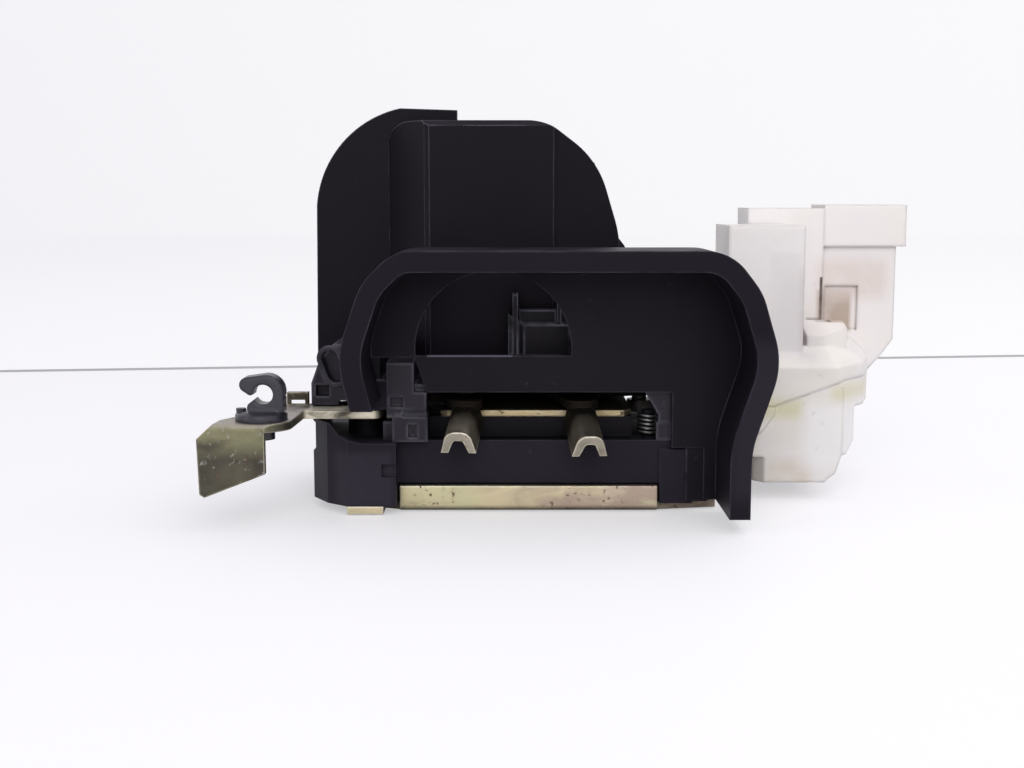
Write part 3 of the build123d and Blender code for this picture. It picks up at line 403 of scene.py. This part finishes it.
def plated_steel(name, film, worn, rough, grime, soil, spots=0.0, bloom=0.0, film_size=0.009,
                 top=None, shade_from=None, tints=(), hollow_shade=0.97):
    """Plated steel: film colours, bare worn edges, soil, brown spots, a pale bloom, painted shade and
    painted light.

    `film` is three colours that drift into each other over `film_size`, and `worn` is that of the edges.
    `soil`, `spots`, `bloom` and `hollow_shade` are shares, the last of the painted shade in hollows. `top`
    is the colour of the faces that look up, as painted light, and `shade_from` two places along Y between
    which the piece goes from open and bright to darkened with painted shade.
    """
    finish = Finish(name)
    rounded, near_edge = finish.edges(0.0006)
    drift = finish.noise(film_size, detail=4.0, warp=1.0, stretch=(1, 1, 0.6))
    tint = finish.noise(film_size * 1.7, detail=2.0)
    smear = finish.noise(0.0045, detail=4.0, warp=0.6, stretch=(1, 1, 2.2))
    dirty = finish.mask(smear, 0.50, 0.74)
    marks = finish.noise(0.0008, detail=3.0, stretch=(0.10, 1, 1))
    freckle = finish.mask(finish.noise(0.0006, detail=3.0, warp=0.3), 0.60, 0.66)
    pit = freckle * finish.mask(finish.noise(0.0040, detail=2.0), 0.50, 0.57)
    crumb = finish.mask(finish.noise(0.0007, detail=2.0, warp=0.3), 0.62, 0.80)
    # painted shade: darker deep in hollows
    pocket = finish.mask(finish.hollows(0.016), 0.45, 0.90)
    colour = finish.blend(film[0], film[1], finish.mask(drift, 0.36, 0.66))
    colour = finish.blend(colour, film[2], finish.mask(tint, 0.46, 0.68))
    if top:
        # faces that look up get the top colour as painted light
        lying = finish.mask(finish.upward(), 0.3, 0.9) * finish.mask(smear, 0.2, 0.6)
        colour = finish.blend(colour, top, lying)
    colour = finish.blend(colour, grime, dirty * soil)
    colour = finish.blend(colour, worn, near_edge * finish.mask(smear, 0.25, 0.45) * 0.9)
    colour = finish.tinted(colour, tints, smear, 0.30, 0.55)
    colour = finish.blend(colour, RUST, pit * spots)
    colour = finish.blend(colour, WHITE_BLOOM, crumb * bloom)
    # painted shade, in hollows and towards the roots of the levers
    if shade_from:
        pocket = finish.mask(pocket + finish.along("Y", *shade_from), 0.0, 1.0)
    colour = finish.blend(colour, STEEL_HOLLOW_SHADE, pocket * hollow_shade)
    metal = 1.0 - (dirty * soil * 0.5 + pit * spots + crumb * bloom)
    finish.feed(Base_Color=colour, Metallic=finish.mask(metal, 0.0, 1.0),
                Roughness=rough + 0.22 * dirty + 0.10 * drift + 0.2 * pit + 0.3 * pocket,
                Normal=finish.bump(marks + 0.8 * crumb, 0.000014, rounded))
    return finish.material


STRAW, ROSE, MOSS = (0.63, 0.53, 0.34), (0.63, 0.50, 0.40), (0.52, 0.50, 0.31)
BARE_GREY = ((0.62, 0.61, 0.59), (0.55, 0.54, 0.52), (0.60, 0.60, 0.60))

yellow_zinc = plated_steel(
    "yellow_zinc", film=(STRAW, MOSS, ROSE), worn=(0.88, 0.86, 0.78), rough=0.34,
    grime=(0.34, 0.27, 0.18), soil=0.30, spots=1.0, tints=(
        # the right half of the flange, the back plate in the slot, and painted shade on its left end
        Tint((0.0100, -0.01, 0.0), (0.0500, 0.01, 0.0100), 0.0200, (0.40, 0.31, 0.25), 0.90),
        Tint((-0.0165, 0.0, 0.0230), (0.0310, 0.0085, 0.0250), 0.0005, (0.46, 0.37, 0.20), 0.80),
        Tint((-0.0240, 0.0, 0.0225), (-0.0170, 0.0500, 0.0260), 0.0005, (0.02, 0.015, 0.01), 1.0),
    ))
# the levers' fingers are darkened towards their roots with painted shade
lever_zinc = plated_steel(
    "lever_zinc", film=((0.40, 0.36, 0.29), (0.32, 0.29, 0.235), (0.37, 0.33, 0.265)),
    worn=(0.92, 0.86, 0.70), rough=0.36, grime=(0.10, 0.080, 0.060), soil=0.55, spots=0.5, bloom=0.1,
    film_size=0.005, shade_from=(-0.011, -0.002))
# its top colour is painted light on the faces that look up
aged_zinc = plated_steel(
    "aged_zinc", film=((0.105, 0.096, 0.070), (0.056, 0.050, 0.042), (0.078, 0.078, 0.056)),
    worn=(0.52, 0.48, 0.36), rough=0.46, grime=(0.045, 0.036, 0.030), soil=0.60, spots=0.6, bloom=0.70,
    film_size=0.006, top=(0.66, 0.60, 0.58), tints=(
        # the rod lever's bright inner end, and the top of its bend
        Tint((-0.0520, -0.0010, 0.0230), (-0.0260, 0.0100, 0.0295), 0.0010, (0.70, 0.65, 0.52), 1.0),
        Tint((-0.0780, -0.0230, 0.0220), (-0.0600, 0.0, 0.0245), 0.0050, (0.30, 0.29, 0.17), 0.6),
    ))
pin_steel = plated_steel(
    "turned_steel", film=BARE_GREY, worn=(0.72, 0.71, 0.70), rough=0.26, grime=(0.14, 0.11, 0.08),
    soil=0.30)
spring_wire = plated_steel(
    "spring_wire", film=((0.34, 0.34, 0.34), (0.26, 0.26, 0.27), (0.30, 0.30, 0.30)),
    worn=(0.50, 0.50, 0.50), rough=0.28, grime=(0.07, 0.06, 0.05), soil=0.35)
can_steel = plated_steel(
    "motor_can_steel", film=BARE_GREY, worn=(0.68, 0.68, 0.67), rough=0.36, grime=(0.16, 0.14, 0.12),
    soil=0.25)
tin_plate = plated_steel(
    "tinned_brass", film=((0.72, 0.70, 0.64), (0.66, 0.64, 0.60), (0.70, 0.68, 0.60)),
    worn=(0.78, 0.77, 0.74), rough=0.24, grime=(0.20, 0.18, 0.15), soil=0.20, hollow_shade=0.25)

# %% [markdown]
# ## Every piece gets its finish
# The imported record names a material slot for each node. One table turns that slot into a finish, so a
# node can't be forgotten. The pieces that share a slot but differ on the real latch are listed apart.

# %% Assign the finishes
slot_finish = {
    "zinc_steel": yellow_zinc, "galvanised_steel": aged_zinc, "bright_steel": pin_steel,
    "spring_steel": spring_wire, "motor_steel": can_steel, "black_resin": housing_black,
    "hood_rubber": hood_black, "jacket_resin": jacket_black, "clip_resin": clip_black,
    "natural_nylon": nylon, "gear_resin": gear_white, "bumper_rubber": bumper_black, "tin": tin_plate,
}
own_finish = {
    "lever_cover": ear_black, "dome_cover": cover_black, "guide_block": guide_black,
    "frame_plate": cover_black, "release_lever": lever_zinc, "lock_lever": lever_zinc,
}


def wear_finish(piece, material):
    """Puts one material on a piece, in place of any it came with."""
    piece.data.materials.clear()
    piece.data.materials.append(material)


node_slot = {part["node"]: part["material_slot"] for part in frame["record"]["subparts"]}
for name, piece in nodes.items():
    wear_finish(piece, own_finish.get(name) or slot_finish[node_slot[name]])
print("finishes:", len(set(node_slot.values())), "slots on", len(node_slot), "nodes")

# %% [markdown]
# ## Repeated shapes
# A coil or a screw thread is one small outline swept along a turning path. Geometry Nodes describe such a
# rule once, with named sizes, so the same tree makes every spring here. The class below builds a tree
# node by node, runs it once on a carrier mesh, and keeps the plain mesh that comes out.

# %% Recipe


class Recipe:
    """A Geometry Nodes tree with named number inputs."""

    def __init__(self, name, **sizes):
        self.tree = bpy.data.node_groups.new(name, "GeometryNodeTree")
        face = self.tree.interface
        face.new_socket("Points", in_out="INPUT", socket_type="NodeSocketGeometry")
        face.new_socket("Geometry", in_out="OUTPUT", socket_type="NodeSocketGeometry")
        self.ids = {}
        for key, value in sizes.items():
            made = face.new_socket(key, in_out="INPUT", socket_type="NodeSocketFloat")
            made.default_value = value
            self.ids[key] = made.identifier
        self.start = self.tree.nodes.new("NodeGroupInput").outputs
        self.finish = self.tree.nodes.new("NodeGroupOutput").inputs

    def node(self, kind, sockets, **settings):
        """A new node's first output. A list for a socket means several links to it."""
        made = self.tree.nodes.new(kind)
        for key, value in settings.items():
            setattr(made, key, value)
        for key, value in sockets.items():
            for each in value if isinstance(value, list) else [value]:
                if isinstance(each, bpy.types.NodeSocket):
                    self.tree.links.new(each, made.inputs[key])
                else:
                    made.inputs[key].default_value = each
        return made.outputs[0]

    def end(self, geometry, material):
        """Puts one copy on each carrier point, makes it real and gives it its finish."""
        spread = self.node("GeometryNodeInstanceOnPoints",
                           {"Points": self.start["Points"], "Instance": geometry})
        whole = self.node("GeometryNodeRealizeInstances", {"Geometry": spread})
        dressed = self.node("GeometryNodeSetMaterial", {"Geometry": whole, "Material": material})
        self.tree.links.new(dressed, self.finish["Geometry"])

    def make(self, name, points, body, slot, stands_for=(), **sizes):
        """Runs the tree with a copy at each point and rides the plain mesh on a body."""
        seeds = bpy.data.meshes.new(name + "_points")
        seeds.from_pydata(points, [], [])
        carrier = placed(name + "_carrier", seeds)
        modifier = carrier.modifiers.new("recipe", "NODES")
        modifier.node_group = self.tree
        for key, value in sizes.items():
            modifier[self.ids[key]] = value
        graph = bpy.context.evaluated_depsgraph_get()
        mesh = bpy.data.meshes.new_from_object(carrier.evaluated_get(graph))
        bpy.data.objects.remove(carrier)
        for polygon in mesh.polygons:
            polygon.use_smooth = True
        piece = placed(name, mesh)
        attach(piece, body)
        if stands_for:
            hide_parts(*stands_for)
        print(name, "faces:", len(mesh.polygons))


# %% [markdown]
# ## Springs
# The claw, the pawl and the small toggle each have a spring of round wire. A coil is a spiral curve with
# a small circle swept along it. The two torsion springs also have a straight leg that pushes on their
# lever, so a line is joined to the spiral before the sweep.

# %% Coil recipe
COIL_STEPS, WIRE_SIDES = 22, 8

coil = Recipe("coil_spring", Radius=0.003, Wire=0.0004, Turns=5.0, Height=0.005, Leg=0.0, Turned=0.0)
spiral = coil.node("GeometryNodeCurveSpiral", {
    "Resolution": COIL_STEPS, "Rotations": coil.start["Turns"], "Start Radius": coil.start["Radius"],
    "End Radius": coil.start["Radius"], "Height": coil.start["Height"]})
leg_end = coil.node("ShaderNodeCombineXYZ", {"X": coil.start["Radius"], "Y": coil.start["Leg"]})
leg_start = coil.node("ShaderNodeCombineXYZ", {"X": coil.start["Radius"]})
leg = coil.node("GeometryNodeCurvePrimitiveLine", {"Start": leg_end, "End": leg_start})
path = coil.node("GeometryNodeJoinGeometry", {"Geometry": [leg, spiral]})
wire = coil.node("GeometryNodeCurvePrimitiveCircle",
                 {"Resolution": WIRE_SIDES, "Radius": coil.start["Wire"]})
swept = coil.node("GeometryNodeCurveToMesh", {"Curve": path, "Profile Curve": wire, "Fill Caps": True})
turn = coil.node("ShaderNodeCombineXYZ", {"Z": coil.start["Turned"]})
coil.end(coil.node("GeometryNodeTransform", {"Geometry": swept, "Rotation": turn}), spring_wire)

# %% The springs
CLAW_SPRING_FOOT = (0.0165, 0.026, 0.0126)
PAWL_SPRING_FOOT = (-0.014, 0.040, 0.0103)
TOGGLE_SPRING_FOOT = (0.0355, 0.010, 0.0186)

coil.make("claw_spring_coil", [CLAW_SPRING_FOOT], "latch_frame", "spring_steel", ("claw_spring",),
          Radius=0.0069, Wire=0.0005, Turns=1.25, Height=0.0009, Leg=-0.0080, Turned=math.radians(-10))
coil.make("pawl_spring_coil", [PAWL_SPRING_FOOT], "latch_frame", "spring_steel", ("pawl_spring",),
          Radius=0.0050, Wire=0.0005, Turns=3.0, Height=0.0031, Leg=-0.0035, Turned=math.radians(110))
coil.make("toggle_spring_coil", [TOGGLE_SPRING_FOOT], "latch_frame", "spring_steel", ("toggle_spring",),
          Radius=0.00252, Wire=0.00042, Turns=4.6, Height=0.0050, Turned=math.radians(40))

# %% [markdown]
# ## Threads
# The three bushes take the latch's screws. Their bores are smooth in the solid model, at the thread's
# inner size. A ridge with a three-sided outline, swept along a spiral, gives each bore its turns.

# %% Thread recipe
THREAD_STEPS, RIDGE_SIDES = 24, 3
BUSH_FEET = [(-0.036, 0.046, 0.0004), (0.040, 0.049, 0.0004), (0.0435, 0.009, 0.0004)]

thread = Recipe("screw_thread", Radius=0.0026, Ridge=0.00026, Pitch=0.001, Turns=6.2)
climb = thread.node("ShaderNodeMath", {0: thread.start["Pitch"], 1: thread.start["Turns"]},
                    operation="MULTIPLY")
winding = thread.node("GeometryNodeCurveSpiral", {
    "Resolution": THREAD_STEPS, "Rotations": thread.start["Turns"],
    "Start Radius": thread.start["Radius"], "End Radius": thread.start["Radius"], "Height": climb})
ridge = thread.node("GeometryNodeCurvePrimitiveCircle",
                    {"Resolution": RIDGE_SIDES, "Radius": thread.start["Ridge"]})
turns = thread.node("GeometryNodeCurveToMesh",
                    {"Curve": winding, "Profile Curve": ridge, "Fill Caps": True})
thread.end(turns, pin_steel)
thread.make("bush_threads", BUSH_FEET, "latch_frame", "zinc_steel")

# %% [markdown]
# ## Webs of the hood
# The hood runs into the housing in two narrow webs, one beside each foot. They are flat moulded walls, so
# an outline pushed to a thickness and bevelled gives their real shape.

# %% Webs
BEVEL_STEPS = 2
RIGHT_WEB = [(0.0440, 0.0026), (0.0500, 0.0026), (0.0500, 0.0190), (0.0440, 0.0190)]
LEFT_WEB = [(-0.0352, 0.0262), (-0.0304, 0.0262), (-0.0304, 0.0340), (-0.0362, 0.0340),
            (-0.0358, 0.0312), (-0.0354, 0.0285)]


def wall_from(name, outline, y_front, y_back, round_by=0.0003):
    """A moulded wall: an outline in X and Z, given as a closed loop, between two places along Y.

    Its faces are made one by one, because the extrude operator orders them differently in each run.
    """
    shape = bmesh.new()
    front, back = ([shape.verts.new((x, y, z)) for x, z in outline] for y in (y_front, y_back))
    shape.faces.new(front)
    shape.faces.new(back[::-1])
    for i in range(len(outline)):
        shape.faces.new((front[i], front[i - 1], back[i - 1], back[i]))
    bmesh.ops.recalc_face_normals(shape, faces=shape.faces)
    bmesh.ops.bevel(shape, geom=list(shape.edges), offset=round_by, segments=BEVEL_STEPS, affect="EDGES")
    mesh = bpy.data.meshes.new(name)
    shape.to_mesh(mesh)
    shape.free()
    piece = placed(name, mesh)
    wear_finish(piece, hood_black)
    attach(piece, "latch_frame")
    print(name, "faces:", len(mesh.polygons))


wall_from("hood_right_web", RIGHT_WEB, y_front=-0.0006, y_back=0.0014)
wall_from("hood_left_web", LEFT_WEB, y_front=-0.0008, y_back=0.0024)

# %% [markdown]
# ## Floor, backdrop and light
# The latch stands on a pale sheet. Behind it a thin grey line marks where the sheet meets the backdrop,
# which runs on flat and then rises far away, so that it stays clear of a camera behind the latch. Wide
# lamps overhead and in front leave the faint shadow and the broad highlights of a light tent. The floor
# and backdrop show their own pale colour to the camera, with painted light that grows brighter to the
# right, and the lamps are kept low enough that the white case keeps its shading.

# %% Stage
FLOOR_Z = -0.0003
FAR, BACK, WALL_TOP = 3.0, 2.6, 2.5
LINE_Y, LINE_LEAN, LINE_WIDTH = 0.318, 0.128, 0.009
COOL_WHITE, CLEAR_WHITE, NO_LIGHT = (0.93, 0.925, 0.95), (1.0, 0.995, 1.0), (0.0, 0.0, 0.0)


def sheet_of(name, corners, material):
    """One flat face of the stage."""
    mesh = bpy.data.meshes.new(name)
    mesh.from_pydata(corners, [], [tuple(range(len(corners)))])
    made = placed(name, mesh)
    mesh.materials.append(material)


def pale_paint(name, shade, tone, lift, reach):
    """Matt paint with painted light: its added white grows brighter to the right over `reach` metres each
    side of the latch.

    `lift` is the white that the camera, gloss and glass see added to it.
    """
    finish = Finish(name, Roughness=0.6, Emission_Strength=lift)
    mottle = finish.noise(0.05, detail=4.0)
    colour = finish.blend(shade, tone, finish.mask(mottle, 0.3, 0.7) * 0.5)
    seen = finish.node("ShaderNodeLightPath", out="Is Camera Ray")
    gloss = finish.node("ShaderNodeLightPath", out="Is Glossy Ray")
    through = finish.node("ShaderNodeLightPath", out="Is Transmission Ray")
    lit = finish.mask(seen + gloss + through, 0.0, 1.0)
    # painted light, brighter to the right
    painted_light_sweep = finish.blend(COOL_WHITE, CLEAR_WHITE, finish.along("X", -reach, reach))
    finish.feed(Base_Color=colour, Emission_Color=finish.blend(NO_LIGHT, painted_light_sweep, lit))
    return finish.material


def line_end(x, further=0.0):
    """A point of the joint line, which runs a little askew."""
    return (x, LINE_Y + LINE_LEAN * x + further, FLOOR_Z)


BACKDROP_TONES = {"shade": (0.25, 0.245, 0.26), "tone": (0.24, 0.235, 0.25)}
floor_paint = pale_paint("floor_paint", shade=(0.60, 0.59, 0.615), tone=(0.58, 0.575, 0.605),
                         lift=0.46, reach=0.30)
backdrop_paint = pale_paint("backdrop_paint", **BACKDROP_TONES, lift=0.72, reach=0.60)
wall_paint = pale_paint("backdrop_wall_paint", **BACKDROP_TONES, lift=0.812, reach=1.10)
line_paint = pale_paint("joint_line_paint", shade=(0.20, 0.20, 0.21), tone=(0.24, 0.23, 0.25),
                        lift=0.22, reach=0.30)

front_left, front_right = (-FAR, -FAR, FLOOR_Z), (FAR, -FAR, FLOOR_Z)
near_left, near_right = line_end(-FAR), line_end(FAR)
far_left, far_right = line_end(-FAR, LINE_WIDTH), line_end(FAR, LINE_WIDTH)
back_left, back_right = (-FAR, BACK, FLOOR_Z), (FAR, BACK, FLOOR_Z)
sheet_of("floor", [front_left, front_right, near_right, near_left], floor_paint)
sheet_of("joint_line", [near_left, near_right, far_right, far_left], line_paint)
sheet_of("backdrop_floor", [far_left, far_right, back_right, back_left], backdrop_paint)
sheet_of("backdrop", [back_left, back_right, (FAR, BACK, WALL_TOP), (-FAR, BACK, WALL_TOP)], wall_paint)

# %% Lamps


def lamp(name, at, aim, size, power, colour=(1, 1, 1)):
    """A rectangular lamp, with its size in metres and its power in watts."""
    data = bpy.data.lights.new(name, "AREA")
    data.shape = "RECTANGLE"
    data.size, data.size_y = size
    data.energy = power
    data.color = colour
    made = placed(name, data)
    made.location = at
    made.rotation_euler = (Vector(aim) - Vector(at)).to_track_quat("-Z", "Y").to_euler()


lamp("overhead", at=(0.55, 0.05, 0.95), aim=(0.10, 0.08, 0.03), size=(1.1, 0.9), power=3.4,
     colour=(0.98, 0.98, 1.0))
lamp("front_fill", at=(0.15, -2.00, 1.15), aim=(0.04, 0.0, 0.04), size=(2.2, 1.5), power=24.0)
lamp("left_fill", at=(-0.85, -0.45, 0.30), aim=(0.05, 0.0, 0.05), size=(0.5, 0.5), power=1.0)

# %% [markdown]
# ## Sky
# The sky lights the latch softly from all sides. To the camera, to gloss and through clear pieces it
# looks brighter than the light that it gives.

# %% Sky
SKY_COLOUR = (0.97, 0.96, 1.0, 1.0)
SKY_LIGHT, SKY_SEEN = 0.54, 0.90

world = bpy.data.worlds.new("soft_sky")
bpy.context.scene.world = world
world.use_nodes = True
sky = world.node_tree.nodes["Background"]
sky.inputs["Color"].default_value = SKY_COLOUR
ray_kind = world.node_tree.nodes.new("ShaderNodeLightPath")
seen = ray_kind.outputs["Is Camera Ray"]
for ray in ("Is Glossy Ray", "Is Transmission Ray"):
    either = world.node_tree.nodes.new("ShaderNodeMath")
    either.operation = "MAXIMUM"
    world.node_tree.links.new(seen, either.inputs[0])
    world.node_tree.links.new(ray_kind.outputs[ray], either.inputs[1])
    seen = either.outputs[0]
strength = world.node_tree.nodes.new("ShaderNodeMapRange")
strength.inputs["To Min"].default_value = SKY_LIGHT
strength.inputs["To Max"].default_value = SKY_SEEN
world.node_tree.links.new(seen, strength.inputs["Value"])
world.node_tree.links.new(strength.outputs["Result"], sky.inputs["Strength"])
bpy.context.scene.view_settings.view_transform = "Standard"
